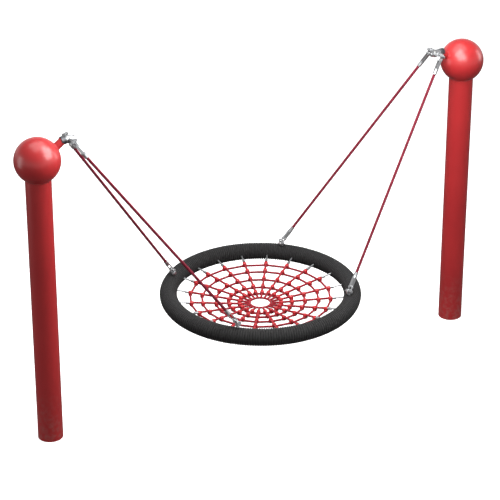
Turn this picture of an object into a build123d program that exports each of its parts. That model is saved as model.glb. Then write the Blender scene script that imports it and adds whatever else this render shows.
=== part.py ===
from build123d import *
import math
import os

# Saucer nest swing: a round rope net in a padded ring, hung by four ropes between two ball-topped posts.
# Millimetres. +Z is up, the post axes stand on the X axis, the front is -Y.
# The origin is on the ground, below the middle of the net.

os.makedirs("parts", exist_ok=True)

# Posts
post_spacing = 2826.0
post_diameter = 146.0
post_wall = 5.0
base_plate_thickness = 12.0
base_bolt_circle = 90.0
base_bolt_count = 4
base_bolt_hole = 14.0
drain_hole = 20.0

# Ball caps
ball_diameter = 260.0
ball_wall = 4.0
ball_centre_height = 1740.0
post_top_clearance = 15.0

# Hanger arms and bearing bosses
arm_diameter = 44.5
arm_wall = 4.0
boss_diameter = 46.0
boss_length = 30.0
boss_floor = 4.0
boss_chamfer = 2.0

# Pivots: the swing turns about the line through both studs
pivot_stand_off = 63.0
pivot_rise = 84.0
stud_diameter = 20.0
stud_thread_end = 3.0
stud_chamfer = 1.5
running_clearance = 0.05
end_play = 0.3
washer_diameter = 38.0
washer_thickness = 3.0
washer_hole_clearance = 0.2
pivot_nut_across_flats = 30.0
pivot_nut_height = 16.0

# Crossheads
hub_diameter = 44.0
hub_length = 32.0
bush_wall = 3.0
bush_flange_diameter = 36.0
bush_flange_thickness = 2.0
bush_length = 14.0
crosshead_plate_width = 30.0
crosshead_plate_thickness = 10.0
shackle_hole_spacing = 108.0

# Shackles, their bolts and nuts
shackle_rod = 9.0
shackle_gap = 13.0
shackle_leg = 24.0
shackle_ear_thickness = 10.0
shackle_ear_diameter = 20.0
bolt_diameter = 10.0
bolt_hole_clearance = 0.2
bolt_across_flats = 17.0
bolt_head_height = 6.0
nut_height = 8.0
bolt_thread_end = 2.0

# Rope terminals and their pins
fork_gap = 12.0
fork_leg_thickness = 5.0
fork_leg_width = 14.0
fork_leg_length = 58.0
collar_flare = 2.0
ferrule_wall = 2.5
ferrule_taper = 12.0
ferrule_length = 22.0
pin_diameter = 10.0
pin_head_diameter = 15.0
pin_head_height = 3.0
contact_gap = 0.1
rope_stop_gap = 0.2

# Suspension ropes
rope_diameter = 18.0
rope_seat_gap = 0.1

# Ring
ring_diameter = 1200.0
ring_section = 104.0
ring_height = 548.0
core_tube_diameter = 42.4
core_tube_wall = 3.2
wrap_thickness = 12.0
layer_gap = 0.2
half_joint_angle = 0.02

# Ring eyes
eye_angle = 45.0
eye_inset = 12.0
eye_stand_off = 20.0
eye_rod = 8.0
eye_inner_diameter = 20.0
eye_shank = 12.0

# Net
net_sag = 70.0
hub_ring_diameter = 124.0
hub_ring_rod = 14.0
spoke_count = 20
spoke_rope = 14.0
circle_rope = 14.0
circle_shares = (0.143, 0.290, 0.470, 0.657, 0.820)
connector_side_wall = 5.5
connector_end_wall = 2.2
connector_corner = 4.0
connector_chamfer = 1.5
crossing_gap = 0.6
end_rod_diameter = 10.0
end_ferrule_wall = 1.5
end_ferrule_length = 22.0
end_ferrule_overlap = 14.0
anchor_boss_diameter = 18.0
anchor_boss_length = 8.0

# Worked out from the sizes above
post_radius = post_diameter / 2
ball_radius = ball_diameter / 2
ball_inner_radius = ball_radius - ball_wall
post_top_rise = math.sqrt(ball_inner_radius**2 - post_radius**2) - post_top_clearance
post_top_height = ball_centre_height + post_top_rise
arm_radius = arm_diameter / 2
pivot_reach = ball_radius + pivot_stand_off
pivot_height = ball_centre_height + pivot_rise
bush_outer_radius = stud_diameter / 2 + running_clearance + bush_wall
ferrule_diameter = rope_diameter + 2 * ferrule_wall
collar_diameter = ferrule_diameter + 2 * collar_flare

ring_radius = (ring_diameter - ring_section) / 2
ring_inner_radius = ring_radius - ring_section / 2
core_radius = core_tube_diameter / 2
pad_radius = ring_section / 2 - wrap_thickness - layer_gap

hub_ring_radius = hub_ring_diameter / 2
net_angle = math.degrees(math.atan2(net_sag, ring_radius - hub_ring_radius))
net_span = ring_inner_radius - hub_ring_radius
rope_drop = (spoke_rope + circle_rope) / 2 + crossing_gap
connector_width = max(spoke_rope, circle_rope) + 2 * connector_side_wall
connector_height = spoke_rope + circle_rope + crossing_gap + 2 * connector_end_wall
end_ferrule_diameter = spoke_rope + 2 * end_ferrule_wall
spoke_angles = [index * 360.0 / spoke_count for index in range(spoke_count)]
circle_radii = [hub_ring_radius + share * net_span for share in circle_shares]

eye_rise = ring_section / 2 + eye_stand_off
eye_hole_radius = eye_inner_diameter / 2
eye_mean_radius = eye_hole_radius + eye_rod / 2
eye_seat = eye_hole_radius - bolt_diameter / 2 - contact_gap
bow_radius = (shackle_gap + shackle_ear_thickness) / 2
shackle_reach = shackle_leg + bow_radius - shackle_rod / 2 - pin_diameter / 2 - contact_gap
rope_start = fork_leg_length + ferrule_taper


def save(piece, node):
    piece.part.label = node
    export_step(piece.part, f"parts/{node}.step")


def polar(radius, angle, height):
    turn = math.radians(angle)
    return Vector(radius * math.cos(turn), radius * math.sin(turn), height)


def square_to(direction, origin, x_direction=None):
    # A plane whose normal is the given direction.
    return Plane(origin=origin, x_dir=x_direction, z_dir=direction)


def post_x(side):
    return side * post_spacing / 2


def inboard_point(side, reach):
    # A point on the pivot line, the given distance inboard of the post axis.
    return Vector(post_x(side) - side * reach, 0, pivot_height)


def eye_turn(side, depth):
    turn = math.radians(eye_angle)
    return math.degrees(math.atan2(depth * math.sin(turn), side * math.cos(turn)))


def eye_centre(side, depth):
    return polar(ring_radius - eye_inset, eye_turn(side, depth), ring_height + eye_rise)


def eye_root(side, depth):
    # Where an eye's shank starts, on the centre line of the core.
    return polar(ring_radius, eye_turn(side, depth), ring_height)


def hole_centre(side, depth):
    # A shackle hole in a crosshead.
    return inboard_point(side, pivot_reach) + Vector(0, depth * shackle_hole_spacing / 2, 0)


def rope_line(side, depth):
    # The direction of a suspension rope, from the ring up to the crosshead.
    return (hole_centre(side, depth) - eye_centre(side, depth)).normalized()


def rope_plane_normal(side):
    # Square to both ropes of one side, pointing inboard and up: the hanger arm's direction too.
    rise = hole_centre(side, 1) - eye_centre(side, 1)
    return Vector(-side * rise.Z, 0, side * rise.X).normalized()


def net_height(radius):
    return ring_height - (ring_radius - radius) * math.tan(math.radians(net_angle))


def spoke_direction(angle):
    return polar(math.cos(math.radians(net_angle)), angle, math.sin(math.radians(net_angle)))


def spoke_plane(angle, radius):
    # A plane square to a spoke, where the spoke is the given distance from the net's axis.
    return square_to(spoke_direction(angle), polar(radius, angle, net_height(radius)))


def net_normal(angle):
    return polar(-math.sin(math.radians(net_angle)), angle, math.cos(math.radians(net_angle)))


def seam_plane(turn=0):
    # An upright plane through the net's axis, midway between two spokes.
    angle = turn + 180.0 / spoke_count
    return square_to(polar(1, angle - 90, 0), (0, 0, 0), polar(1, angle, 0))


def make_torus(centre_radius, height, radius):
    with BuildPart() as torus:
        with BuildSketch(seam_plane()):
            with Locations((centre_radius, height)):
                Circle(radius)
        revolve(axis=Axis.Z)
    return torus


def make_ring_layer(outer_radius, inner_radius, ways):
    # One layer of the ring in two halves, with round ways through it.
    # Each way is a list of planes, a radius and a reach.
    with BuildPart() as layer:
        for half_start in (0, 180):
            with BuildSketch(seam_plane(half_start)):
                with Locations((ring_radius, ring_height)):
                    Circle(outer_radius)
                    Circle(inner_radius, mode=Mode.SUBTRACT)
            revolve(axis=Axis.Z, revolution_arc=180 - half_joint_angle)
        for planes, radius, reach in ways:
            with BuildSketch(*planes):
                Circle(radius)
            extrude(amount=reach, mode=Mode.SUBTRACT)
    return layer


def make_shackle(bolt_centre, bolt_axis, pull):
    # A D shackle: two eared legs on the bolt's line, joined by a half-round bow on the pull side.
    leg_start = bolt_centre - bolt_axis * bow_radius
    bow_plane = square_to(bolt_axis.cross(pull), bolt_centre, bolt_axis)
    with BuildPart() as shackle:
        with BuildLine(bow_plane):
            Line((-bow_radius, 0), (-bow_radius, shackle_leg))
            CenterArc((0, shackle_leg), bow_radius, 180, -180)
            Line((bow_radius, shackle_leg), (bow_radius, 0))
        with BuildSketch(square_to(pull, leg_start)):
            Circle(shackle_rod / 2)
        sweep()
        for end in (-1, 1):
            with BuildSketch(square_to(bolt_axis * end, bolt_centre + bolt_axis * (end * shackle_gap / 2))):
                Circle(shackle_ear_diameter / 2)
            extrude(amount=shackle_ear_thickness)
        with BuildSketch(square_to(bolt_axis, bolt_centre)):
            Circle(bolt_diameter / 2 + bolt_hole_clearance)
        extrude(amount=shackle_gap / 2 + shackle_ear_thickness, both=True, mode=Mode.SUBTRACT)
    return shackle


def make_terminal(pin_centre, pin_axis, pull):
    # A forked rope end: two long legs on the pin, a tapered collar and a ferrule bored for the rope.
    with BuildPart() as terminal:
        for end in (-1, 1):
            face = pin_centre + pin_axis * (end * fork_gap / 2)
            with BuildSketch(square_to(pin_axis * end, face, pull)):
                Circle(fork_leg_width / 2)
                Rectangle(fork_leg_length, fork_leg_width, align=(Align.MIN, Align.CENTER))
            extrude(amount=fork_leg_thickness)
        with BuildSketch(square_to(pull, pin_centre + pull * fork_leg_length)):
            Circle(collar_diameter / 2)
        with BuildSketch(square_to(pull, pin_centre + pull * rope_start)):
            Circle(ferrule_diameter / 2)
        loft()
        with BuildSketch(square_to(pull, pin_centre + pull * rope_start)):
            Circle(ferrule_diameter / 2)
        extrude(amount=ferrule_length)
        with BuildSketch(square_to(pull, pin_centre + pull * (rope_start - rope_stop_gap))):
            Circle(rope_diameter / 2 + rope_seat_gap)
        extrude(amount=2 * ferrule_length, mode=Mode.SUBTRACT)
        with BuildSketch(square_to(pin_axis, pin_centre)):
            Circle(pin_diameter / 2 + bolt_hole_clearance)
        extrude(amount=fork_gap / 2 + fork_leg_thickness, both=True, mode=Mode.SUBTRACT)
    return terminal


# Every shackle's bolt centre, bolt axis and pull direction, and the fork pin that its bow holds.
# The top shackles hang from the crossheads and the bottom ones stand in the ring's eyes.
shackles = {}
for side_name, side in (("left", -1), ("right", 1)):
    for depth_name, depth in (("rear", 1), ("front", -1)):
        line = rope_line(side, depth)
        normal = rope_plane_normal(side)
        across = line.cross(normal).normalized() * depth
        corner = f"{side_name}_{depth_name}"
        shackles[f"{corner}_top"] = (hole_centre(side, depth), normal, line * -1, across)
        shackles[f"{corner}_bottom"] = (eye_centre(side, depth) + line * eye_seat, across, line, normal)

# Posts, ball caps, hanger arms and pivots
for side_name, side in (("left", -1), ("right", 1)):
    inboard = Vector(-side, 0, 0)
    arm_direction = rope_plane_normal(side)
    hub_start = pivot_reach - hub_length / 2
    flange_start = hub_start - bush_flange_thickness
    inner_washer_start = flange_start - end_play - washer_thickness
    boss_start = inner_washer_start - boss_length
    boss_centre = inboard_point(side, boss_start + boss_length / 2)
    arm_length = abs((boss_centre.X - post_x(side)) / arm_direction.X)
    arm_root = boss_centre - arm_direction * arm_length
    arm_plane = square_to(arm_direction, arm_root)
    ground_plane = Plane(origin=(post_x(side), 0, 0))
    ball_plane = Plane(origin=(post_x(side), 0, ball_centre_height), x_dir=(1, 0, 0), z_dir=(0, -1, 0))
    outer_washer_start = pivot_reach + hub_length / 2 + bush_flange_thickness + end_play
    nut_start = outer_washer_start + washer_thickness

    with BuildPart() as post_tube:
        with BuildSketch(ground_plane):
            Circle(post_radius)
            Circle(post_radius - post_wall, mode=Mode.SUBTRACT)
        extrude(amount=post_top_height)
        with BuildSketch(arm_plane):
            Circle(arm_radius + contact_gap)
        extrude(amount=arm_length, mode=Mode.SUBTRACT)
    save(post_tube, f"{side_name}_post_tube")

    with BuildPart() as base_plate:
        with BuildSketch(ground_plane):
            Circle(post_radius - post_wall - contact_gap)
            Circle(drain_hole / 2, mode=Mode.SUBTRACT)
            with PolarLocations(base_bolt_circle / 2, base_bolt_count):
                Circle(base_bolt_hole / 2, mode=Mode.SUBTRACT)
        extrude(amount=base_plate_thickness)
    save(base_plate, f"{side_name}_base_plate")

    with BuildPart() as ball_cap:
        with BuildSketch(ball_plane):
            with BuildLine():
                CenterArc((0, 0), ball_radius, -90, 180)
                Line((0, ball_radius), (0, ball_inner_radius))
                CenterArc((0, 0), ball_inner_radius, -90, 180)
                Line((0, -ball_inner_radius), (0, -ball_radius))
            make_face()
        revolve(axis=Axis((post_x(side), 0, 0), (0, 0, 1)))
        with BuildSketch(ground_plane):
            Circle(post_radius + contact_gap)
        extrude(amount=ball_centre_height, mode=Mode.SUBTRACT)
        with BuildSketch(arm_plane):
            Circle(arm_radius + contact_gap)
        extrude(amount=arm_length, mode=Mode.SUBTRACT)
    save(ball_cap, f"{side_name}_ball_cap")

    with BuildPart() as hanger_arm:
        with BuildSketch(arm_plane):
            Circle(arm_radius)
            Circle(arm_radius - arm_wall, mode=Mode.SUBTRACT)
        extrude(amount=arm_length)
        with BuildSketch(square_to(inboard, inboard_point(side, boss_start - contact_gap))):
            Circle(boss_diameter / 2 + contact_gap)
        extrude(amount=boss_length, mode=Mode.SUBTRACT)
    save(hanger_arm, f"{side_name}_hanger_arm")

    with BuildPart() as bearing_boss:
        with BuildSketch(square_to(inboard, inboard_point(side, boss_start))):
            Circle(boss_diameter / 2)
        extrude(amount=boss_length)
        chamfer(bearing_boss.edges().filter_by(GeomType.CIRCLE), length=boss_chamfer)
        with BuildSketch(square_to(inboard, inboard_point(side, boss_start + boss_floor))):
            Circle(stud_diameter / 2 + contact_gap)
        extrude(amount=boss_length, mode=Mode.SUBTRACT)
    save(bearing_boss, f"{side_name}_bearing_boss")

    with BuildPart() as pivot_stud:
        stud_start = boss_start + boss_floor + contact_gap
        with BuildSketch(square_to(inboard, inboard_point(side, stud_start))):
            Circle(stud_diameter / 2)
        extrude(amount=nut_start + pivot_nut_height + stud_thread_end - stud_start)
        chamfer(pivot_stud.edges().filter_by(GeomType.CIRCLE), length=stud_chamfer)
    save(pivot_stud, f"{side_name}_pivot_stud")

    with BuildPart() as thrust_washers:
        for washer_start in (inner_washer_start, outer_washer_start):
            with BuildSketch(square_to(inboard, inboard_point(side, washer_start))):
                Circle(washer_diameter / 2)
                Circle(stud_diameter / 2 + washer_hole_clearance, mode=Mode.SUBTRACT)
            extrude(amount=washer_thickness)
    save(thrust_washers, f"{side_name}_thrust_washers")

    with BuildPart() as pivot_nut:
        with BuildSketch(square_to(inboard, inboard_point(side, nut_start), Vector(0, 1, 0))):
            RegularPolygon(radius=pivot_nut_across_flats / 2, side_count=6, major_radius=False)
            Circle(stud_diameter / 2 + washer_hole_clearance, mode=Mode.SUBTRACT)
        extrude(amount=pivot_nut_height)
    save(pivot_nut, f"{side_name}_pivot_nut")

    with BuildPart() as crosshead:
        with BuildSketch(square_to(inboard, inboard_point(side, hub_start))):
            Circle(hub_diameter / 2)
        extrude(amount=hub_length)
        with BuildSketch(square_to(arm_direction, inboard_point(side, pivot_reach), Vector(0, 1, 0))):
            SlotCenterToCenter(shackle_hole_spacing, crosshead_plate_width)
        extrude(amount=crosshead_plate_thickness / 2, both=True)
        with BuildSketch(square_to(inboard, inboard_point(side, hub_start))):
            Circle(bush_outer_radius + contact_gap)
        extrude(amount=hub_length, mode=Mode.SUBTRACT)
        with BuildSketch(square_to(arm_direction, inboard_point(side, pivot_reach), Vector(0, 1, 0))):
            with GridLocations(shackle_hole_spacing, 0, 2, 1):
                Circle(bolt_diameter / 2 + bolt_hole_clearance)
        extrude(amount=crosshead_plate_thickness, both=True, mode=Mode.SUBTRACT)
    save(crosshead, f"{side_name}_crosshead")

    with BuildPart() as crosshead_bushes:
        for end in (-1, 1):
            outward = inboard * end
            face = inboard_point(side, pivot_reach) + outward * (hub_length / 2)
            with BuildSketch(square_to(outward, face)):
                Circle(bush_flange_diameter / 2)
            extrude(amount=bush_flange_thickness)
            with BuildSketch(square_to(outward * -1, face)):
                Circle(bush_outer_radius)
            extrude(amount=bush_length)
        with BuildSketch(square_to(inboard, inboard_point(side, flange_start))):
            Circle(stud_diameter / 2 + running_clearance)
        extrude(amount=hub_length + 2 * bush_flange_thickness, mode=Mode.SUBTRACT)
    save(crosshead_bushes, f"{side_name}_crosshead_bushes")

# Suspension: shackle, fork terminal, rope, fork terminal, shackle and ring eye in each of the four lines
for side_name, side in (("left", -1), ("right", 1)):
    for depth_name, depth in (("rear", 1), ("front", -1)):
        corner = f"{side_name}_{depth_name}"
        pins = {}
        for level in ("top", "bottom"):
            bolt_centre, bolt_axis, pull, pin_axis = shackles[f"{corner}_{level}"]
            pins[level] = bolt_centre + pull * shackle_reach
            save(make_shackle(bolt_centre, bolt_axis, pull), f"{corner}_{level}_shackle")
            save(make_terminal(pins[level], pin_axis, pull), f"{corner}_{level}_terminal")

        line = rope_line(side, depth)
        rope_length = (pins["top"] - pins["bottom"]).length - 2 * rope_start
        with BuildPart() as rope:
            with BuildSketch(square_to(line, pins["bottom"] + line * rope_start)):
                Circle(rope_diameter / 2)
            extrude(amount=rope_length)
        save(rope, f"{corner}_suspension_rope")
        print(corner, "suspension rope length", round(rope_length, 1))

        eye = eye_centre(side, depth)
        shank_direction = (eye - eye_root(side, depth)).normalized()
        bolt_axis = shackles[f"{corner}_bottom"][1]
        eye_axis = (bolt_axis - shank_direction * bolt_axis.dot(shank_direction)).normalized()
        with BuildPart() as ring_eye:
            with BuildSketch(square_to(shank_direction, eye_root(side, depth))):
                Circle(eye_shank / 2)
            extrude(amount=(eye - eye_root(side, depth)).length - eye_mean_radius)
            add(make_torus(ring_radius, ring_height, core_radius + contact_gap).part, mode=Mode.SUBTRACT)
            with BuildSketch(square_to(eye_axis.cross(shank_direction), eye, shank_direction)):
                with Locations((eye_mean_radius, 0)):
                    Circle(eye_rod / 2)
            revolve(axis=Axis(eye, eye_axis))
        save(ring_eye, f"{corner}_ring_eye")

# Bolts, nuts and pins of the eight shackles and eight terminals
with BuildPart() as shackle_bolts:
    for bolt_centre, bolt_axis, pull, pin_axis in shackles.values():
        head_face = bolt_centre - bolt_axis * (shackle_gap / 2 + shackle_ear_thickness)
        with BuildSketch(square_to(bolt_axis * -1, head_face, pull)):
            RegularPolygon(radius=bolt_across_flats / 2, side_count=6, major_radius=False)
        extrude(amount=bolt_head_height)
        with BuildSketch(square_to(bolt_axis, head_face)):
            Circle(bolt_diameter / 2)
        extrude(amount=shackle_gap + 2 * shackle_ear_thickness + nut_height + bolt_thread_end)
save(shackle_bolts, "shackle_bolts")

with BuildPart() as shackle_nuts:
    for bolt_centre, bolt_axis, pull, pin_axis in shackles.values():
        nut_face = bolt_centre + bolt_axis * (shackle_gap / 2 + shackle_ear_thickness)
        with BuildSketch(square_to(bolt_axis, nut_face, pull)):
            RegularPolygon(radius=bolt_across_flats / 2, side_count=6, major_radius=False)
            Circle(bolt_diameter / 2 + contact_gap, mode=Mode.SUBTRACT)
        extrude(amount=nut_height)
save(shackle_nuts, "shackle_nuts")

with BuildPart() as terminal_pins:
    for bolt_centre, bolt_axis, pull, pin_axis in shackles.values():
        pin_centre = bolt_centre + pull * shackle_reach
        leg_face = fork_gap / 2 + fork_leg_thickness
        with BuildSketch(square_to(pin_axis, pin_centre)):
            Circle(pin_diameter / 2)
        extrude(amount=leg_face, both=True)
        for end in (-1, 1):
            with BuildSketch(square_to(pin_axis * end, pin_centre + pin_axis * (end * leg_face))):
                Circle(pin_head_diameter / 2)
            extrude(amount=pin_head_height)
save(terminal_pins, "terminal_pins")

# Ring: steel core, foam pad and rope wrapping, with ways through for the eyes and the spoke ends
eye_planes = []
for side in (-1, 1):
    for depth in (-1, 1):
        root = eye_root(side, depth)
        eye_planes.append(square_to((eye_centre(side, depth) - root).normalized(), root))
end_planes = [spoke_plane(angle, ring_radius) for angle in spoke_angles]
boss_reach = core_radius + anchor_boss_length
ways_for_eyes = (eye_planes, eye_shank / 2 + layer_gap, ring_section)
ways_for_ends = (end_planes, end_rod_diameter / 2 + layer_gap, -ring_section)
ways_for_bosses = (end_planes, anchor_boss_diameter / 2 + layer_gap, -(boss_reach + layer_gap))

with BuildPart() as ring_core_tube:
    with BuildSketch(seam_plane()):
        with Locations((ring_radius, ring_height)):
            Circle(core_radius)
            Circle(core_radius - core_tube_wall, mode=Mode.SUBTRACT)
    revolve(axis=Axis.Z)
save(ring_core_tube, "ring_core_tube")

pad_ways = [ways_for_eyes, ways_for_ends, ways_for_bosses]
ring_foam_pad = make_ring_layer(pad_radius, core_radius + layer_gap, pad_ways)
save(ring_foam_pad, "ring_foam_pad")

ring_rope_wrap = make_ring_layer(ring_section / 2, pad_radius + layer_gap, [ways_for_eyes, ways_for_ends])
save(ring_rope_wrap, "ring_rope_wrap")

with BuildPart() as spoke_anchor_bosses:
    with BuildSketch(*end_planes):
        Circle(anchor_boss_diameter / 2)
    extrude(amount=-boss_reach)
    add(make_torus(ring_radius, ring_height, core_radius + contact_gap).part, mode=Mode.SUBTRACT)
save(spoke_anchor_bosses, "spoke_anchor_bosses")

# Net: hub ring, spoke ropes, circle ropes, cross connectors and the spokes' steel ends
net_hub_ring = make_torus(hub_ring_radius, net_height(hub_ring_radius), hub_ring_rod / 2)
save(net_hub_ring, "net_hub_ring")

slope = 1 / math.cos(math.radians(net_angle))
outer_circle = circle_radii[-1]
ferrule_start = outer_circle + connector_width / 2 + contact_gap
spoke_end = ferrule_start + end_ferrule_overlap
with BuildPart() as net_spoke_ropes:
    with BuildSketch(*[spoke_plane(angle, hub_ring_radius) for angle in spoke_angles]):
        Circle(spoke_rope / 2)
    extrude(amount=(spoke_end - hub_ring_radius) * slope)
    hub_seat = make_torus(hub_ring_radius, net_height(hub_ring_radius), hub_ring_rod / 2 + contact_gap)
    add(hub_seat.part, mode=Mode.SUBTRACT)
save(net_spoke_ropes, "net_spoke_ropes")

rod_foot = boss_reach + contact_gap
rod_length = (ring_radius - ferrule_start - end_ferrule_length) * slope + end_rod_diameter / 2 - rod_foot
with BuildPart() as spoke_end_fittings:
    with BuildSketch(*[spoke_plane(angle, ferrule_start) for angle in spoke_angles]):
        Circle(end_ferrule_diameter / 2)
    extrude(amount=end_ferrule_length * slope)
    with BuildSketch(*[spoke_plane(angle, ferrule_start) for angle in spoke_angles]):
        Circle(spoke_rope / 2 + rope_seat_gap)
    extrude(amount=(end_ferrule_overlap + contact_gap) * slope, mode=Mode.SUBTRACT)
    with BuildSketch(*[plane.offset(-rod_foot) for plane in end_planes]):
        Circle(end_rod_diameter / 2)
    extrude(amount=-rod_length)
save(spoke_end_fittings, "spoke_end_fittings")


def rope_crossing(crossing_radius, angle):
    # Where a circle rope passes just below a spoke.
    return polar(crossing_radius, angle, net_height(crossing_radius)) - net_normal(angle) * rope_drop


def make_circle_rope(crossing_radius):
    # A rope pulled straight from spoke to spoke, bent only inside the connectors.
    half_step = 180.0 / spoke_count
    corners = [rope_crossing(crossing_radius, angle) for angle in spoke_angles]
    middle = (corners[0] + corners[-1]) / 2
    with BuildPart() as circle:
        with BuildLine():
            Polyline(middle, *corners, middle)
        with BuildSketch(square_to(polar(1, 90 - half_step, 0), middle)):
            Circle(circle_rope / 2)
        sweep(transition=Transition.RIGHT)
    return circle


def make_connector(crossing_radius):
    # One cross connector at the spoke along +X.
    # It is a block with a way for the spoke and one for the circle rope.
    centre = rope_crossing(crossing_radius, 0) + net_normal(0) * (rope_drop / 2)
    half_step = 180.0 / spoke_count
    with BuildPart() as connector:
        with BuildSketch(square_to(net_normal(0), centre, spoke_direction(0))):
            RectangleRounded(connector_width, connector_width, connector_corner)
        extrude(amount=connector_height / 2, both=True)
        flat_ends = connector.faces().filter_by(square_to(net_normal(0), centre))
        chamfer(flat_ends.edges(), length=connector_chamfer)
        with BuildSketch(spoke_plane(0, crossing_radius)):
            Circle(spoke_rope / 2 + contact_gap)
        extrude(amount=connector_width, both=True, mode=Mode.SUBTRACT)
        corner = rope_crossing(crossing_radius, 0)
        way_start = corner + polar(connector_width, -90 - half_step, 0)
        way_finish = corner + polar(connector_width, 90 + half_step, 0)
        with BuildLine():
            Polyline(way_start, corner, way_finish)
        with BuildSketch(square_to((corner - way_start).normalized(), way_start)):
            Circle(circle_rope / 2 + contact_gap)
        sweep(transition=Transition.RIGHT, mode=Mode.SUBTRACT)
    return connector


with BuildPart() as cross_connectors:
    for crossing_radius in circle_radii:
        connector = make_connector(crossing_radius)
        with PolarLocations(0, spoke_count):
            add(connector.part)
save(cross_connectors, "cross_connectors")

for number, crossing_radius in enumerate(circle_radii, start=1):
    save(make_circle_rope(crossing_radius), f"circle_rope_{number}")
    print("circle rope", number, "crossing radius", round(crossing_radius, 1))
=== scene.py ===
import math

import bpy
import numpy as np
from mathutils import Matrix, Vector


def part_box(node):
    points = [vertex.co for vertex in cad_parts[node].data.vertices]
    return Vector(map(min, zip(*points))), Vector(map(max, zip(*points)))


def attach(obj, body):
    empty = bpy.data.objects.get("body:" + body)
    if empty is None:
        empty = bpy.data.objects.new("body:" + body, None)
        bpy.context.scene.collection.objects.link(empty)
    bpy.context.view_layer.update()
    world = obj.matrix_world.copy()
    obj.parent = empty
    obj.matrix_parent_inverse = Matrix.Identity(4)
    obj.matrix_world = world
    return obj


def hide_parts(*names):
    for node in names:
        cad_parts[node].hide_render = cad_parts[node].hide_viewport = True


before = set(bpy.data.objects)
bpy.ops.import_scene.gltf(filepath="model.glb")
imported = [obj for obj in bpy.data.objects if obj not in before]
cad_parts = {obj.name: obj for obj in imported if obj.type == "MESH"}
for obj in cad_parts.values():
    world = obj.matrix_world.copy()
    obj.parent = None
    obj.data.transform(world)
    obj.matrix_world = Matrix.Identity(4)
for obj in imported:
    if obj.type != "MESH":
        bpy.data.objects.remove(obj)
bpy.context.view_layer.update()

upward = Vector((0, 0, 1))


# Shader writing

def pickSocket(sockets, key):
    for socket in sockets:
        if socket.identifier == key:
            return socket
    return sockets[key]


class Signal:
    # wraps one output, so that an expression on it adds Math nodes
    def __init__(self, look, socket):
        self.look = look
        self.socket = socket

    def maths(self, operation, first, second):
        return self.look.node("ShaderNodeMath", {"operation": operation}, {0: first, 1: second})

    def __add__(self, other):
        return self.maths("ADD", self, other)

    __radd__ = __add__

    def __mul__(self, other):
        return self.maths("MULTIPLY", self, other)

    __rmul__ = __mul__

    def __sub__(self, other):
        return self.maths("SUBTRACT", self, other)

    def __rsub__(self, other):
        return self.maths("SUBTRACT", other, self)

    def __truediv__(self, other):
        return self.maths("DIVIDE", self, other)

    def __rtruediv__(self, other):
        return self.maths("DIVIDE", other, self)


class Look:
    # the nodes of one material or world, written as expressions
    def __init__(self, owner):
        self.owner = owner
        self.owner.use_nodes = True
        self.tree = self.owner.node_tree
        self.tree.nodes.clear()

    def node(self, kind, settings=None, inputs=None, output=0):
        made = self.tree.nodes.new(kind)
        for key, value in (settings or {}).items():
            if key == "stops":
                while len(made.color_ramp.elements) < len(value):
                    made.color_ramp.elements.new(0.5)
                for stop, (place, shade) in zip(made.color_ramp.elements, value):
                    stop.position = place
                    stop.color = (shade, shade, shade, 1)
            else:
                setattr(made, key, value)
        for key, value in (inputs or {}).items():
            socket = pickSocket(made.inputs, key)
            if isinstance(value, Signal):
                self.tree.links.new(value.socket, socket)
            else:
                socket.default_value = value
        return made if output is None else Signal(self, pickSocket(made.outputs, output))

    def places(self):
        return self.node("ShaderNodeTexCoord", output="Object")

    def noise(self, scale, detail=3, vector=None):
        vector = vector or self.places()
        return self.node("ShaderNodeTexNoise", {}, {"Vector": vector, "Scale": scale, "Detail": detail})

    def cells(self, scale, output="Distance"):
        return self.node("ShaderNodeTexVoronoi", {}, {"Vector": self.places(), "Scale": scale}, output)

    def ramp(self, signal, low, high):
        return self.node("ShaderNodeValToRGB", {"stops": ((low, 0), (high, 1))}, {"Fac": signal})

    def blend(self, share, first, second):
        inputs = {"Factor_Float": share, "A_Color": first, "B_Color": second}
        return self.node("ShaderNodeMix", {"data_type": "RGBA"}, inputs, "Result_Color")

    def attribute(self, name):
        return self.node("ShaderNodeAttribute", {"attribute_name": name}, {}, "Fac")

    def along(self):
        # how far along and round a rope, in metres and turns
        uv = self.node("ShaderNodeUVMap", {"uv_map": "lay"})
        split = self.node("ShaderNodeSeparateXYZ", {}, {0: uv}, "X")
        return split, Signal(self, split.socket.node.outputs["Y"])

    def sine(self, signal):
        return self.node("ShaderNodeMath", {"operation": "SINE"}, {0: signal})

    def bump(self, height, distance, strength=1.0):
        return self.node("ShaderNodeBump", {}, {"Height": height, "Distance": distance, "Strength": strength})

    def finish(self, **sockets):
        # an underscore stands for the space in a socket's name
        inputs = {key.replace("_", " "): value for key, value in sockets.items()}
        shader = self.node("ShaderNodeBsdfPrincipled", {}, inputs)
        self.node("ShaderNodeOutputMaterial", {}, {"Surface": shader}, None)
        return self.owner


def rgb(red, green, blue):
    return (red, green, blue, 1)


# Finishes

paintSettings = dict(
    red=rgb(0.47, 0.024, 0.026),
    deep=rgb(0.35, 0.015, 0.018),
    dust=rgb(0.32, 0.20, 0.17),
    driftScale=2.3,
    dustScale=38,
    peelScale=420,
    peelDepth=0.00005,
)


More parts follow.
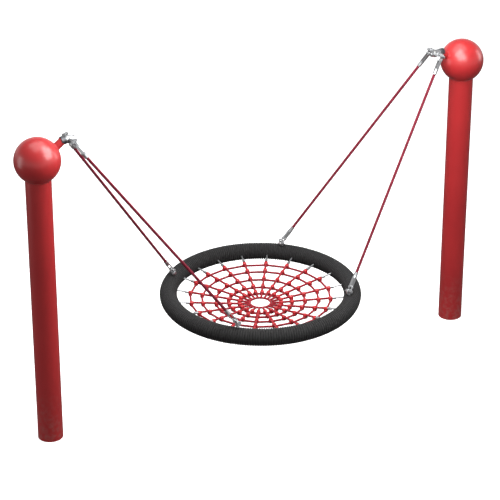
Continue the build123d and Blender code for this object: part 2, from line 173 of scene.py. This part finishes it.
def redPaint(name, scuffTop=0.0):
    # gloss powder coat: orange peel, a little tone drift, and dust scuffed on near the ground
    look = Look(bpy.data.materials.new(name))
    drift = look.ramp(look.noise(paintSettings["driftScale"], 4), 0.35, 0.7)
    colour = look.blend(drift * 0.55, paintSettings["red"], paintSettings["deep"])
    rough = 0.30 + look.noise(9, 5) * 0.12
    if scuffTop:
        split = look.node("ShaderNodeSeparateXYZ", {}, {0: look.places()}, "Z")
        low = look.ramp(1 - split / scuffTop, 0.0, 1.0)
        dust = look.ramp(look.noise(paintSettings["dustScale"], 8), 0.45, 0.75) * low
        colour = look.blend(dust * 0.45, colour, paintSettings["dust"])
        rough = rough + dust * 0.35
    peel = look.noise(paintSettings["peelScale"], 2)
    return look.finish(Base_Color=colour, Roughness=rough, Coat_Weight=0.45, Coat_Roughness=0.22,
                       Normal=look.bump(peel, paintSettings["peelDepth"], 0.6))


zincSettings = dict(smearScale=26, pitScale=900, pitDepth=0.0002)


def galvanised(name, tone=0.62, spangle=140):
    # hot-dipped zinc: spangle, soft smears and a few dull spots
    look = Look(bpy.data.materials.new(name))
    grain = look.node("ShaderNodeSeparateColor", {}, {0: look.cells(spangle, "Color")}, "Red")
    smear = look.noise(zincSettings["smearScale"], 6)
    bright = rgb(tone, tone * 1.01, tone * 1.02)
    dull = rgb(tone * 0.55, tone * 0.57, tone * 0.60)
    colour = look.blend(grain * 0.35 + smear * 0.45, bright, dull)
    rough = 0.26 + grain * 0.14 + smear * 0.16
    pits = smear + look.noise(zincSettings["pitScale"], 3) * 0.3
    return look.finish(Base_Color=colour, Roughness=rough, Metallic=0.95,
                       Normal=look.bump(pits, zincSettings["pitDepth"], 0.5))


steelSettings = dict(
    dark=rgb(0.075, 0.078, 0.085),
    rubbed=rgb(0.19, 0.19, 0.20),
    grainScale=300,
    patchScale=45,
    grainDepth=0.0001,
)


def darkSteel(name):
    # blackened steel with a brushed grain and rubbed edges
    look = Look(bpy.data.materials.new(name))
    grain = look.noise(steelSettings["grainScale"], 6)
    patch = look.ramp(look.noise(steelSettings["patchScale"], 4), 0.4, 0.7)
    colour = look.blend(patch * 0.6, steelSettings["dark"], steelSettings["rubbed"])
    return look.finish(Base_Color=colour, Roughness=0.36 + grain * 0.2, Metallic=0.7,
                       Normal=look.bump(grain, steelSettings["grainDepth"], 0.5))


fibreSettings = dict(yarnSlant=900, fibreScale=1400, fadeScale=60, valleyShade=0.28, yarnGlint=1.8,
                     yarnDepth=0.0004)


def tinted(colour, share):
    return tuple(min(1, share * c) for c in colour[:3]) + (1,)


def laidRope(name, bright, deep, yarns, fuzz=0.5, sheen=0.25):
    # twisted fibre rope: yarns run with the strands, and the valleys between strands are darkened with
    # painted shade
    look = Look(bpy.data.materials.new(name))
    run, turn = look.along()
    yarn = look.sine(turn * yarns + run * fibreSettings["yarnSlant"]) * 0.5 + 0.5
    fibre = look.noise(fibreSettings["fibreScale"], 4)
    valley = look.attribute("valley")
    tone = look.ramp(look.noise(fibreSettings["fadeScale"], 3), 0.35, 0.7)
    colour = look.blend(tone * 0.5, bright, deep)
    # painted shade: the colour darkens deep in the valleys between strands
    colour = look.blend(valley * 0.75, colour, tinted(deep, fibreSettings["valleyShade"]))
    # painted highlight: the raised yarn crests are lightened
    colour = look.blend(yarn * 0.18, colour, tinted(bright, fibreSettings["yarnGlint"]))
    height = yarn * 0.6 + fibre * fuzz
    return look.finish(Base_Color=colour, Roughness=0.62 + fibre * 0.25, Specular_IOR_Level=0.3,
                       Sheen_Weight=sheen, Sheen_Roughness=0.5,
                       Normal=look.bump(height, fibreSettings["yarnDepth"], 0.8))


plasticSettings = dict(
    red=rgb(0.52, 0.018, 0.024),
    deep=rgb(0.38, 0.011, 0.016),
    sparkScale=1600,
    toneScale=14,
    sparkDepth=0.00006,
)


def mouldedPlastic(name):
    # injection-moulded polyamide: fine spark texture with glossier high spots
    look = Look(bpy.data.materials.new(name))
    spark = look.noise(plasticSettings["sparkScale"], 3)
    tone = look.noise(plasticSettings["toneScale"], 3)
    colour = look.blend(tone * 0.5, plasticSettings["red"], plasticSettings["deep"])
    return look.finish(Base_Color=colour, Roughness=0.28 + spark * 0.16, Coat_Weight=0.25, Coat_Roughness=0.2,
                       Normal=look.bump(spark, plasticSettings["sparkDepth"], 0.5))


foamSettings = dict(skin=rgb(0.055, 0.055, 0.058), pore=rgb(0.02, 0.02, 0.021), cellScale=420,
                    cellDepth=0.0006)


def closedFoam(name):
    look = Look(bpy.data.materials.new(name))
    cell = look.cells(foamSettings["cellScale"])
    colour = look.blend(cell, foamSettings["skin"], foamSettings["pore"])
    return look.finish(Base_Color=colour, Roughness=0.8 + cell * 0.15,
                       Normal=look.bump(cell, foamSettings["cellDepth"]))


bushSettings = dict(clean=rgb(0.78, 0.77, 0.70), worn=rgb(0.62, 0.60, 0.52), toneScale=80, toneDepth=0.0001)


def bearingPlastic(name):
    look = Look(bpy.data.materials.new(name))
    tone = look.noise(bushSettings["toneScale"], 4)
    colour = look.blend(tone * 0.4, bushSettings["clean"], bushSettings["worn"])
    return look.finish(Base_Color=colour, Roughness=0.38 + tone * 0.15,
                       Normal=look.bump(tone, bushSettings["toneDepth"], 0.4))


postPaint = redPaint("redPostPaint", scuffTop=0.35)
capPaint = redPaint("redCapPaint")
zinc = galvanised("galvanisedZinc")
zincFine = galvanised("galvanisedFasteners", 0.68, 260)
blackSteel = darkSteel("blackenedSteel")
hangRope = laidRope("hangingRopeFibre", rgb(0.23, 0.009, 0.030), rgb(0.12, 0.006, 0.018), 42, sheen=0.08)
spokeRope = laidRope("spokeRopeFibre", rgb(0.38, 0.014, 0.026), rgb(0.24, 0.009, 0.018), 42, sheen=0.1)
circleFibre = laidRope("circleRopeFibre", rgb(0.34, 0.013, 0.026), rgb(0.21, 0.009, 0.018), 42, sheen=0.1)
wrapFibre = laidRope("ringWrapFibre", rgb(0.017, 0.0165, 0.017), rgb(0.009, 0.0088, 0.009), 30, 0.6, 0.06)
connectorPlastic = mouldedPlastic("redConnectorPlastic")
foamLook = closedFoam("closedCellFoam")
bushLook = bearingPlastic("bushPlastic")
print("finishes made")


# CAD pieces that keep their shape

def coat(node, material):
    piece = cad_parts[node]
    piece.data.materials.clear()
    piece.data.materials.append(material)


corners = [f"{side}_{depth}" for side in ("left", "right") for depth in ("rear", "front")]
for side in ("left", "right"):
    coat(f"{side}_post_tube", postPaint)
    coat(f"{side}_ball_cap", capPaint)
    coat(f"{side}_hanger_arm", capPaint)
    coat(f"{side}_base_plate", zinc)
    coat(f"{side}_bearing_boss", blackSteel)
    coat(f"{side}_pivot_stud", zincFine)
    coat(f"{side}_thrust_washers", zincFine)
    coat(f"{side}_pivot_nut", zincFine)
    coat(f"{side}_crosshead", zinc)
    coat(f"{side}_crosshead_bushes", bushLook)
for corner in corners:
    for level in ("top", "bottom"):
        coat(f"{corner}_{level}_shackle", zinc)
        coat(f"{corner}_{level}_terminal", zincFine)
    coat(f"{corner}_ring_eye", zinc)
for node in ("shackle_bolts", "shackle_nuts", "terminal_pins"):
    coat(node, zincFine)
coat("ring_core_tube", zinc)
coat("spoke_anchor_bosses", zinc)
coat("spoke_end_fittings", zinc)
print("CAD pieces coated")


# Mesh stock

class MeshStock:
    # gathers patches of points and faces, then makes one piece of them
    def __init__(self):
        self.points = []
        self.faces = []
        self.lays = []
        self.valleys = []

    def add(self, points, faces, lays=None, valleys=None):
        start = len(self.points)
        self.points.extend(points)
        self.faces.extend(tuple(start + i for i in face) for face in faces)
        self.lays.extend(lays or [[(0, 0)] * len(face) for face in faces])
        self.valleys.extend(valleys or [0.0] * len(points))

    def build(self, name, material, body, nodes=()):
        mesh = bpy.data.meshes.new(name)
        mesh.from_pydata([tuple(p) for p in self.points], [], self.faces)
        layer = mesh.uv_layers.new(name="lay")
        flat = [value for face in self.lays for pair in face for value in pair]
        layer.data.foreach_set("uv", flat)
        # the valley depth tells the rope finishes where to paint shade into the creases
        mesh.attributes.new("valley", "FLOAT", "POINT").data.foreach_set("value", self.valleys)
        mesh.polygons.foreach_set("use_smooth", [True] * len(mesh.polygons))
        mesh.materials.append(material)
        mesh.update()
        piece = bpy.data.objects.new(name, mesh)
        bpy.context.scene.collection.objects.link(piece)
        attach(piece, body)
        if nodes:
            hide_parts(*nodes)
        return piece


def tubeFaces(rings, around, closed):
    faces = []
    spans = rings if closed else rings - 1
    for i in range(spans):
        for j in range(around):
            here, there = i * around, (i + 1) % rings * around
            faces.append((here + j, here + (j + 1) % around, there + (j + 1) % around, there + j))
    return faces


def onCircle(centre, side, over, radius, turn):
    # a point of the circle round a centre, in the plane of side and over
    return centre + side * (radius * math.cos(turn)) + over * (radius * math.sin(turn))


ropeSettings = dict(strands=6, strandSides=4, strandOverlap=1.02, layDiameters=5.0, stepDiameters=0.33)


def strandOutline(diameter):
    # the outline of six strands lying round a core: radius at each turn, and how deep in the valley it is
    strands = ropeSettings["strands"]
    sides = ropeSettings["strandSides"]
    half = math.pi / strands
    share = math.sin(half) * ropeSettings["strandOverlap"]
    middle = diameter / 2 / (1 + share)
    strand = middle * share
    outline = []
    for k in range(strands * sides):
        off = -half + 2 * half * (k % sides) / sides
        radius = middle * math.cos(off) + math.sqrt(max(strand**2 - (middle * math.sin(off))**2, 0))
        turn = 2 * half * (k // sides) + off
        outline.append((turn, radius, (abs(off) / half)**3))
    return outline


def layRope(stock, path, diameter, closed=False):
    # a laid rope along a path of evenly spaced points
    outline = strandOutline(diameter)
    count = len(path)
    lengths = [(path[(i + 1) % count] - path[i]).length for i in range(count)]
    total = sum(lengths) if closed else sum(lengths[:-1])
    turns = total / (diameter * ropeSettings["layDiameters"])
    if closed:
        turns = round(turns)
    points, valleys, runs = [], [], []
    run = 0.0
    for i, point in enumerate(path):
        before = path[i - 1] if i or closed else point
        after = path[(i + 1) % count] if i < count - 1 or closed else point
        ahead = (after - before).normalized()
        side = upward.cross(ahead).normalized()
        over = ahead.cross(side)
        twist = 2 * math.pi * turns * run / total
        for turn, radius, valley in outline:
            points.append(onCircle(point, side, over, radius, turn + twist))
            valleys.append(valley)
        runs.append(run)
        run += lengths[i]
    around = len(outline)
    faces = tubeFaces(count, around, closed)
    lays = []
    for n in range(len(faces)):
        i, j = divmod(n, around)
        first, second = runs[i], runs[i] + lengths[i]
        low, high = j / around, (j + 1) / around
        lays.append([(first, low), (first, high), (second, high), (second, low)])
    if not closed:
        faces.append(tuple(reversed(range(around))))
        faces.append(tuple((count - 1) * around + j for j in range(around)))
        lays.extend([[(0, 0)] * around, [(0, 0)] * around])
    stock.add(points, faces, lays, valleys)


def stepAlong(start, finish, step):
    # evenly spaced points from start up to finish, which is left out
    count = max(1, round((finish - start).length / step))
    return [start.lerp(finish, k / count) for k in range(count)]


# The four hanging ropes

hangSettings = dict(diameter=0.018, routePoints=5, routeResolution=12, endRounds=12)


def ropeEnds(node, diameter):
    # a straight rope's two ends, from the box of its tilted cylinder
    low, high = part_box(node)
    span = high - low
    ahead = span.normalized()
    for _ in range(hangSettings["endRounds"]):
        inner = Vector([span[k] - diameter * math.sqrt(1 - ahead[k]**2) for k in range(3)])
        ahead = inner.normalized()
    middle = (low + high) / 2
    outward = math.copysign(1, middle.x)
    back = math.copysign(1, middle.y)
    half = Vector((outward * inner.x, -back * inner.y, inner.z)) / 2
    return middle - half, middle + half


def readRoute(route):
    # the points of a bare NURBS route, in order
    curve = bpy.data.curves.new("route", "CURVE")
    curve.dimensions = "3D"
    spline = curve.splines.new("NURBS")
    spline.points.add(len(route) - 1)
    for point, place in zip(spline.points, route):
        point.co = (*place, 1)
    spline.order_u = 3
    spline.use_endpoint_u = True
    spline.resolution_u = hangSettings["routeResolution"]
    holder = bpy.data.objects.new("route", curve)
    mesh = bpy.data.meshes.new_from_object(holder)
    places = [v.co.copy() for v in mesh.vertices]
    bpy.data.objects.remove(holder)
    bpy.data.meshes.remove(mesh)
    bpy.data.curves.remove(curve)
    return places


def evenly(places, step):
    # the same line, with its points evenly spaced
    lengths = np.cumsum([0.0] + [(b - a).length for a, b in zip(places, places[1:])])
    count = max(2, round(lengths[-1] / step))
    wanted = np.linspace(0, lengths[-1], count + 1)
    axes = [np.interp(wanted, lengths, [p[k] for p in places]) for k in range(3)]
    return [Vector(p) for p in zip(*axes)]


for corner in corners:
    node = f"{corner}_suspension_rope"
    diameter = hangSettings["diameter"]
    foot, head = ropeEnds(node, diameter)
    last = hangSettings["routePoints"] - 1
    route = readRoute([foot.lerp(head, k / last) for k in range(last + 1)])
    path = evenly(route, diameter * ropeSettings["stepDiameters"])
    stock = MeshStock()
    layRope(stock, path, diameter)
    sideName, depthName = corner.split("_")
    piece = stock.build(sideName + depthName.title() + "HangingRope", hangRope, "nest", [node])
print("hanging ropes laid")


# The net

netSettings = dict(spokes=20, circles=5, spokeDiameter=0.014, hubBite=0.9)
wrapLow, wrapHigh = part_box("ring_rope_wrap")
ringTube = (wrapHigh.z - wrapLow.z) / 2
ringRadius = wrapHigh.x - ringTube
ringHeight = (wrapHigh.z + wrapLow.z) / 2
hubLow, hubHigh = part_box("net_hub_ring")
hubTube = (hubHigh.z - hubLow.z) / 2
hubRadius = hubHigh.x - hubTube
hubHeight = (hubHigh.z + hubLow.z) / 2
netAngle = math.atan2(ringHeight - hubHeight, ringRadius - hubRadius)
halfStep = math.pi / netSettings["spokes"]
spokeAngles = [2 * halfStep * k for k in range(netSettings["spokes"])]


def polar(radius, angle, height):
    return Vector((radius * math.cos(angle), radius * math.sin(angle), height))


def onSpoke(radius, angle):
    return polar(radius, angle, hubHeight + (radius - hubRadius) * math.tan(netAngle))


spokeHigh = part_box("net_spoke_ropes")[1]
spokeTube = netSettings["spokeDiameter"] / 2
spokeStart = hubRadius + hubTube * netSettings["hubBite"]
spokeEnd = spokeHigh.x - spokeTube * math.sin(netAngle)
ropeStep = netSettings["spokeDiameter"] * ropeSettings["stepDiameters"]
stock = MeshStock()
for angle in spokeAngles:
    first, finish = onSpoke(spokeStart, angle), onSpoke(spokeEnd, angle)
    layRope(stock, stepAlong(first, finish, ropeStep) + [finish], netSettings["spokeDiameter"])
stock.build("netSpokeRopes", spokeRope, "nest", ["net_spoke_ropes"])

hubStock = MeshStock()
hubSteps = round(2 * math.pi * hubRadius / ropeStep)
hubPath = [polar(hubRadius, 2 * math.pi * k / hubSteps, hubHeight) for k in range(hubSteps)]
layRope(hubStock, hubPath, 2 * hubTube, closed=True)
hubStock.build("netHubRing", spokeRope, "nest", ["net_hub_ring"])

circleCorners = []
for number in range(1, netSettings["circles"] + 1):
    low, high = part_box(f"circle_rope_{number}")
    diameter = high.z - low.z
    cornerRadius = high.x - diameter / 2 / math.cos(halfStep)
    height = (low.z + high.z) / 2
    circleCorners.append((cornerRadius, height))
    path = []
    for angle in spokeAngles:
        nextCorner = polar(cornerRadius, angle + 2 * halfStep, height)
        path += stepAlong(polar(cornerRadius, angle, height), nextCorner, ropeStep)
    stock = MeshStock()
    layRope(stock, path, diameter, closed=True)
    stock.build(f"circleRope{number}", circleFibre, "nest", [f"circle_rope_{number}"])
print("net ropes laid")


# Cross connectors

connectorSettings = dict(width=0.0240, height=0.0310, squareness=3.6, rows=12, around=20, seam=0.0005,
                         collar=0.0089, collarInner=0.0070, collarLength=0.0014, collarRound=0.0008,
                         collarSink=0.0012, collarSides=16)


def pillow(half, squareness, rows, around):
    # a rounded block: each row of points goes round the normal
    points = []
    power = 2 / squareness
    for i in range(rows + 1):
        lift = math.pi * i / rows - math.pi / 2
        flat = abs(math.cos(lift))**power
        rise = math.copysign(abs(math.sin(lift))**power, lift)
        seam = connectorSettings["seam"] if i == rows // 2 else 0.0
        for j in range(around):
            turn = 2 * math.pi * j / around
            x = math.copysign(abs(math.cos(turn))**power, math.cos(turn))
            y = math.copysign(abs(math.sin(turn))**power, math.sin(turn))
            points.append(Vector(((half.x + seam) * flat * x, (half.y + seam) * flat * y, half.z * rise)))
    return points, tubeFaces(rows + 1, around, False)


def collar(centre, ahead, start):
    # a short rounded collar that a rope leaves the block through
    length = connectorSettings["collarLength"]
    inner = connectorSettings["collarInner"]
    outer = connectorSettings["collar"]
    edge = connectorSettings["collarRound"]
    side = ahead.cross(upward).normalized()
    over = side.cross(ahead)
    rings = [(start, outer), (start + length, outer), (start + length + edge, outer - edge),
             (start + length + edge, inner), (start, inner)]
    around = connectorSettings["collarSides"]
    points = []
    for reach, radius in rings:
        for j in range(around):
            points.append(onCircle(centre + ahead * reach, side, over, radius, 2 * math.pi * j / around))
    return points, tubeFaces(len(rings), around, False)


stock = MeshStock()
halfWidth = connectorSettings["width"] / 2
half = Vector((halfWidth, halfWidth, connectorSettings["height"] / 2))
collarStart = half.x - connectorSettings["collarSink"]
blockPoints, blockFaces = pillow(half, connectorSettings["squareness"], connectorSettings["rows"],
                                 connectorSettings["around"])
for cornerRadius, height in circleCorners:
    # the crossing is where the spoke is nearest to the circle rope's corner
    reach = (cornerRadius - hubRadius) * math.cos(netAngle) + (height - hubHeight) * math.sin(netAngle)
    crossing = Vector((hubRadius + reach * math.cos(netAngle), 0, hubHeight + reach * math.sin(netAngle)))
    corner = Vector((cornerRadius, 0, height))
    across = Vector((0, 1, 0))
    along = Vector((math.cos(netAngle), 0, math.sin(netAngle)))
    normal = (crossing - corner).normalized()
    middle = (crossing + corner) / 2
    points = [middle + along * p.x + across * p.y + normal * p.z for p in blockPoints]
    faces = list(blockFaces)
    ropeWays = ((crossing, along), (crossing, along * -1),
                (corner, polar(1, math.pi / 2 + halfStep, 0)), (corner, polar(1, -math.pi / 2 - halfStep, 0)))
    for centre, ahead in ropeWays:
        more, moreFaces = collar(centre, ahead, collarStart)
        faces += [tuple(len(points) + i for i in face) for face in moreFaces]
        points += more
    for angle in spokeAngles:
        c, s = math.cos(angle), math.sin(angle)
        stock.add([Vector((p.x * c - p.y * s, p.x * s + p.y * c, p.z)) for p in points], faces)
stock.build("crossConnectors", connectorPlastic, "nest", ["cross_connectors"])
print("connectors moulded")


# Weld beads where the post and the arm meet the ball

weldSettings = dict(radius=0.0030, ripple=0.0005, rippleLength=0.0042, rippleSteps=5, around=8,
                    armRadius=0.02225)


def weldBead(path):
    # a closed bead with the small ripples of a hand weld
    count = len(path)
    around = weldSettings["around"]
    ripples = round(sum((path[i] - path[i - 1]).length for i in range(count)) / weldSettings["rippleLength"])
    points = []
    for i, point in enumerate(path):
        ahead = (path[(i + 1) % count] - path[i - 1]).normalized()
        side = ahead.orthogonal().normalized()
        over = ahead.cross(side)
        radius = weldSettings["radius"] + weldSettings["ripple"] * math.cos(2 * math.pi * ripples * i / count)
        for j in range(around):
            points.append(onCircle(point, side, over, radius, 2 * math.pi * j / around))
    return points, tubeFaces(count, around, True)


def tubePath(start, ahead, radius, ball, ballRadius):
    # where a round tube comes out through the ball
    side = ahead.orthogonal().normalized()
    over = ahead.cross(side)
    steps = round(2 * math.pi * radius / weldSettings["rippleLength"]) * weldSettings["rippleSteps"]
    path = []
    for k in range(steps):
        edge = onCircle(start, side, over, radius, 2 * math.pi * k / steps) - ball
        reach = -edge.dot(ahead) + math.sqrt(edge.dot(ahead)**2 - edge.dot(edge) + ballRadius**2)
        path.append(ball + edge + ahead * reach)
    return path


for side in ("left", "right"):
    low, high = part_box(f"{side}_ball_cap")
    ballRadius = (high.x - low.x) / 2
    ball = Vector(((low.x + high.x) / 2, 0, high.z - ballRadius))
    postLow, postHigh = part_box(f"{side}_post_tube")
    bossLow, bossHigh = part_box(f"{side}_bearing_boss")
    foot, head = ropeEnds(f"{side}_rear_suspension_rope", hangSettings["diameter"])
    rise = head - foot
    inboard = -math.copysign(1, ball.x)
    ahead = Vector((inboard * rise.z, 0, abs(rise.x))).normalized()
    stock = MeshStock()
    armCentre = (bossLow + bossHigh) / 2
    stock.add(*weldBead(tubePath(ball, upward * -1, (postHigh.x - postLow.x) / 2, ball, ballRadius)))
    stock.add(*weldBead(tubePath(armCentre, ahead, weldSettings["armRadius"], ball, ballRadius)))
    stock.build(f"{side}WeldBeads", capPaint, "frame")
print("welds laid")


# The ring's rope wrapping and the foam under it

def onRing(tube, turn, angle):
    # a point of the ring's round section, at an angle round the seat
    return polar(ringRadius + tube * math.cos(turn), angle, ringHeight + tube * math.sin(turn))


wrapSettings = dict(turns=246, around=44, bed=0.0445,
                    samples=(-0.5, -0.46, -0.38, -0.24, 0.0, 0.24, 0.38, 0.46))


def wrapRing():
    # one rope wound round and round the ring: each turn is a half-round rib that creeps forward on its way
    turns, around, samples = wrapSettings["turns"], wrapSettings["around"], wrapSettings["samples"]
    rib = ringTube - wrapSettings["bed"]
    columns = turns * len(samples)
    points, valleys = [], []
    for n in range(columns):
        coil, sample = divmod(n, len(samples))
        offset = samples[sample]
        lift = math.sqrt(max(0.25 - offset**2, 0)) * 2
        tube = wrapSettings["bed"] + rib * lift
        for j in range(around):
            turn = 2 * math.pi * j / around
            angle = 2 * math.pi * (coil + offset + 0.5 + j / around) / turns
            points.append(onRing(tube, turn, angle))
            # the dip between turns is marked for painted shade in the wrap's finish
            valleys.append(1 - lift)
    faces, lays = [], []
    pitch = 2 * math.pi * ringTube / around
    for n in range(columns):
        ahead = (n + 1) % columns
        sample = n % len(samples)
        low = samples[sample]
        high = samples[sample + 1] if sample + 1 < len(samples) else 0.5
        for j in range(around):
            # past the last place round the tube, the rib carries on as the next turn
            shift = len(samples) if j == around - 1 else 0
            after = (j + 1) % around
            first = (n + shift) % columns * around + after
            second = (ahead + shift) % columns * around + after
            faces.append((n * around + j, ahead * around + j, second, first))
            here, there = j * pitch, (j + 1) * pitch
            lays.append([(here, low), (here, high), (there, high), (there, low)])
    stock = MeshStock()
    stock.add(points, faces, lays, valleys)
    stock.build("ringRopeWrap", wrapFibre, "nest", ["ring_rope_wrap"])


padSettings = dict(around=32, columns=240, joints=8, dent=0.0015, inset=0.0002)


def padRing():
    # split foam tubing on the core, cut in lengths with butted joints
    around, columns = padSettings["around"], padSettings["columns"]
    low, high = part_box("ring_foam_pad")
    radius = (high.z - low.z) / 2
    points = []
    for n in range(columns):
        angle = 2 * math.pi * n / columns
        dent = padSettings["dent"] if n % (columns // padSettings["joints"]) == 0 else 0.0
        tube = radius - dent - padSettings["inset"]
        for j in range(around):
            points.append(onRing(tube, 2 * math.pi * j / around, angle))
    stock = MeshStock()
    stock.add(points, [tuple(reversed(face)) for face in tubeFaces(columns, around, True)])
    piece = stock.build("ringFoamPad", foamLook, "nest", ["ring_foam_pad"])


wrapRing()
padRing()
print("ring wrapped")


# Floor, light and camera

stageSettings = dict(floorSize=400.0, floorTone=0.86, floorDrift=0.98, floorGlow=0.74)


def makeFloor():
    size = stageSettings["floorSize"]
    mesh = bpy.data.meshes.new("paleFloor")
    outline = [(-size, -size, 0), (size, -size, 0), (size, size, 0), (-size, size, 0)]
    mesh.from_pydata(outline, [], [(0, 1, 2, 3)])
    floor = bpy.data.objects.new("paleFloor", mesh)
    bpy.context.scene.collection.objects.link(floor)
    look = Look(bpy.data.materials.new("paleFloorFinish"))
    tone = stageSettings["floorTone"]
    dim = tone * stageSettings["floorDrift"]
    speck = look.noise(3, 2)
    colour = look.blend(speck * 0.3, rgb(tone, tone, tone), rgb(dim, dim, dim))
    mesh.materials.append(look.finish(Base_Color=colour, Roughness=0.9, Emission_Color=rgb(1, 1, 1),
                                      Emission_Strength=stageSettings["floorGlow"]))
    # the pale floor throws no light back up, so undersides stay dark
    floor.visible_diffuse = False
    floor.visible_glossy = False


lights = dict(
    overheadBox=dict(place=(-0.3, 0.6, 6.5), aim=(-0.3, 0.6, 0), size=(5.6, 4.8), power=215, mirrored=True),
    middleBox=dict(place=(0.1, -1.05, 3.0), aim=(0, 0, 1.0), size=(2.0, 2.0), power=100, mirrored=True),
    rightBox=dict(place=(6.5, -1.0, 2.6), aim=(0, 0, 1.0), size=(2.0, 3.0), power=60, mirrored=True),
    leftBox=dict(place=(-5.6, 2.0, 1.4), aim=(-1.4, 0, 0.8), size=(2.0, 3.2), power=40, mirrored=True),
    backBox=dict(place=(1.0, 6.0, 3.6), aim=(0, 0, 1.0), size=(3.0, 2.4), power=110, mirrored=False),
)


def aimed(place, aim):
    return (Vector(aim) - Vector(place)).to_track_quat("-Z", "Y").to_euler()


def makeLights():
    for name, light in lights.items():
        lamp = bpy.data.lights.new(name, "AREA")
        lamp.shape = "RECTANGLE"
        lamp.size, lamp.size_y = light["size"]
        lamp.energy = light["power"]
        holder = bpy.data.objects.new(name, lamp)
        holder.location = light["place"]
        holder.rotation_euler = aimed(light["place"], light["aim"])
        holder.visible_camera = False
        holder.visible_glossy = light["mirrored"]
        bpy.context.scene.collection.objects.link(holder)


skySettings = dict(stops=((0.0, 0.08), (0.38, 0.12), (0.49, 0.72), (0.55, 0.72), (0.70, 0.24), (1.0, 0.14)))


def makeSky():
    # pale near the horizon, dimmer overhead and below
    world = bpy.data.worlds.new("softSky")
    look = Look(world)
    places = look.node("ShaderNodeTexCoord", output="Generated")
    height = look.node("ShaderNodeSeparateXYZ", {}, {0: places}, "Z")
    ramp = look.node("ShaderNodeValToRGB", {"stops": skySettings["stops"]}, {"Fac": height * 0.5 + 0.5})
    glow = look.node("ShaderNodeBackground", {}, {"Color": ramp})
    look.node("ShaderNodeOutputWorld", {}, {"Surface": glow}, None)
    bpy.context.scene.world = world
    bpy.context.scene.view_settings.view_transform = "Standard"


cameraSettings = dict(azimuth=-31.04, elevation=26.86, distance=12.584, aim=(-0.0721, 0, 0.8496),
                      focal=154.22, sensor=36, reach=200)


def makeCamera():
    lens = bpy.data.cameras.new("viewCamera")
    lens.lens = cameraSettings["focal"]
    lens.sensor_width = cameraSettings["sensor"]
    lens.clip_end = cameraSettings["reach"]
    holder = bpy.data.objects.new("viewCamera", lens)
    bpy.context.scene.collection.objects.link(holder)
    azimuth = math.radians(cameraSettings["azimuth"])
    elevation = math.radians(cameraSettings["elevation"])
    back = Vector((math.sin(azimuth) * math.cos(elevation), -math.cos(azimuth) * math.cos(elevation),
                   math.sin(elevation)))
    aim = Vector(cameraSettings["aim"])
    holder.location = aim + back * cameraSettings["distance"]
    holder.rotation_euler = (back * -1).to_track_quat("-Z", "Y").to_euler()
    bpy.context.scene.camera = holder


makeFloor()
makeLights()
makeSky()
makeCamera()
print("stage set")
